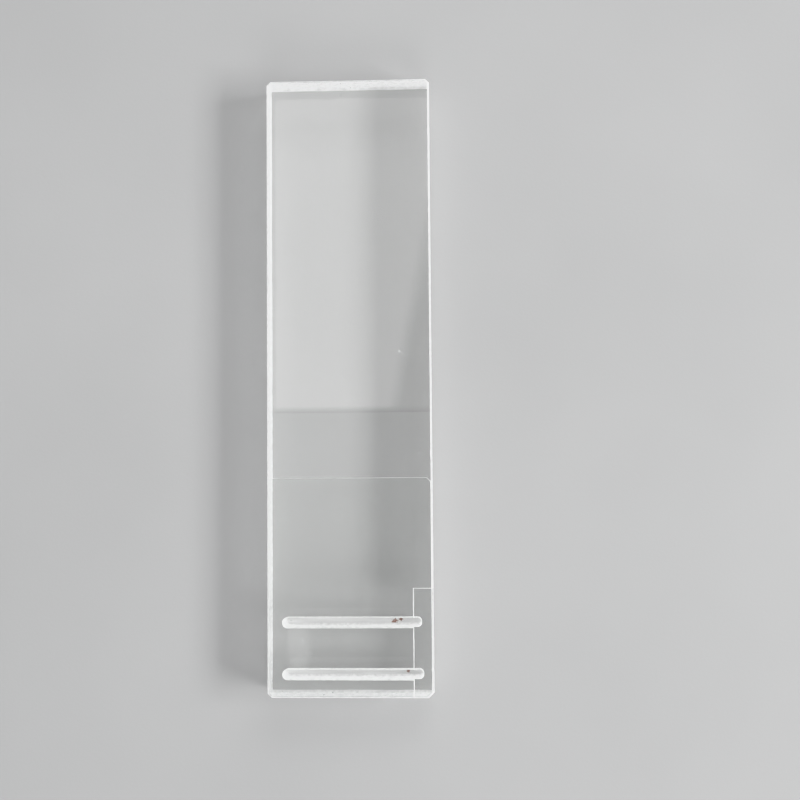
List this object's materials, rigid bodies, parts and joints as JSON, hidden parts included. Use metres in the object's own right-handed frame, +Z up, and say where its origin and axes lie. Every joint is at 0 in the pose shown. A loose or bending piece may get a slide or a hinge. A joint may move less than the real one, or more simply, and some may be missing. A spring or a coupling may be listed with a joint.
{
  "type": "hemocytometer",
  "caption": "Clear glass counting slide with narrow ground moats, a shallow sample step at one corner and a loose cover glass, for counting cells under a microscope.",
  "frame": {"origin": "centre of the underside, on the surface that the slide lies on", "axes": "+X across the slide towards the sample step, +Y along the slide away from the moats, +Z up"},
  "size_m": [0.02, 0.075, 0.0044],
  "materials": {
    "slide_glass": "clear and polished on the large faces, ground white on the rim, moats and step edge",
    "cover_glass": "clear and polished, with cut edges"
  },
  "bodies": {
    "slide": {"slide": "slide_glass"},
    "cover": {"cover_glass": "cover_glass"}
  },
  "joints": [
    {"name": "cover_lift", "type": "slide", "parent": "slide", "child": "cover", "axis": [0, 0, 1], "range_m": [0, 0.03]}
  ]
}
